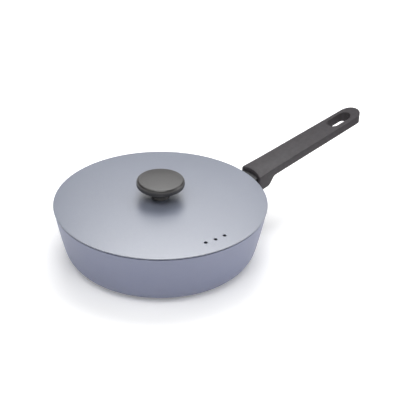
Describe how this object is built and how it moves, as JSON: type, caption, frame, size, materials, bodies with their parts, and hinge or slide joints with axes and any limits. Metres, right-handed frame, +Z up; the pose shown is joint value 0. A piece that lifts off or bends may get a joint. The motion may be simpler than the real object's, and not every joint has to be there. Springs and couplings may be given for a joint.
{
  "type": "saute pan with lid",
  "caption": "Round saute pan with flared walls, a gently domed lid with a knob and steam vents, and a long rising handle with a hanging slot.",
  "frame": {"origin": "centre of the base underside, on the hob", "axes": "+Z up along the pan's axis, +X from the axis towards the handle's tip"},
  "size_m": [0.4826, 0.28, 0.1175],
  "materials": {
    "coating": "satin",
    "steel": "satin",
    "cast_aluminium": "matte",
    "phenolic": "satin",
    "brass": "satin"
  },
  "bodies": {
    "pan": {"pan_body": "coating", "induction_plate": "steel", "handle_bracket": "cast_aluminium", "rivet_left": "cast_aluminium", "rivet_right": "cast_aluminium", "handle": "phenolic", "handle_screw": "steel"},
    "lid": {"lid_shell": "coating", "knob": "phenolic", "knob_insert": "brass", "knob_washer": "steel", "knob_screw": "steel"}
  },
  "joints": [
    {"name": "lid_lift", "type": "slide", "parent": "pan", "child": "lid", "axis": [0, 0, 1], "range_m": [0, 0.15]}
  ]
}
